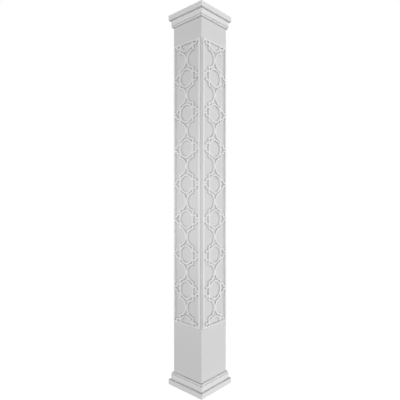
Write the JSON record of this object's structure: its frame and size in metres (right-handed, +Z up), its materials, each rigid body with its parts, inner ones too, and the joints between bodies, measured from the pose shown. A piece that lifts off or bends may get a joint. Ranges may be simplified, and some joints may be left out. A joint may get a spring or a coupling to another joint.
{
  "type": "fretwork column wrap",
  "caption": "Square hollow column wrap with a pierced fretwork sheet of rings and arcs fixed on every side, a moulded capital and a moulded base.",
  "frame": {"origin": "centre of the underside, on the floor", "axes": "+Z up the column, and -Y out of the front face; all four sides are alike"},
  "size_m": [0.2954, 0.2954, 2.4384],
  "materials": {
    "shaft_boards": "white cellular plastic, matte",
    "fretwork_sheets": "white cellular plastic, matte, ready for paint",
    "trim": "white cellular plastic, matte, smooth milled profile"
  },
  "bodies": {
    "root": {"shaft_board_front": "shaft_boards", "shaft_board_right": "shaft_boards", "shaft_board_back": "shaft_boards", "shaft_board_left": "shaft_boards", "fretwork_sheet_front": "fretwork_sheets", "fretwork_sheet_right": "fretwork_sheets", "fretwork_sheet_back": "fretwork_sheets", "fretwork_sheet_left": "fretwork_sheets", "capital_slab_front": "trim", "capital_slab_right": "trim", "capital_slab_back": "trim", "capital_slab_left": "trim", "capital_moulding_front": "trim", "capital_moulding_right": "trim", "capital_moulding_back": "trim", "capital_moulding_left": "trim", "base_moulding_front": "trim", "base_moulding_right": "trim", "base_moulding_back": "trim", "base_moulding_left": "trim", "base_slab_front": "trim", "base_slab_right": "trim", "base_slab_back": "trim", "base_slab_left": "trim"}
  },
  "joints": []
}
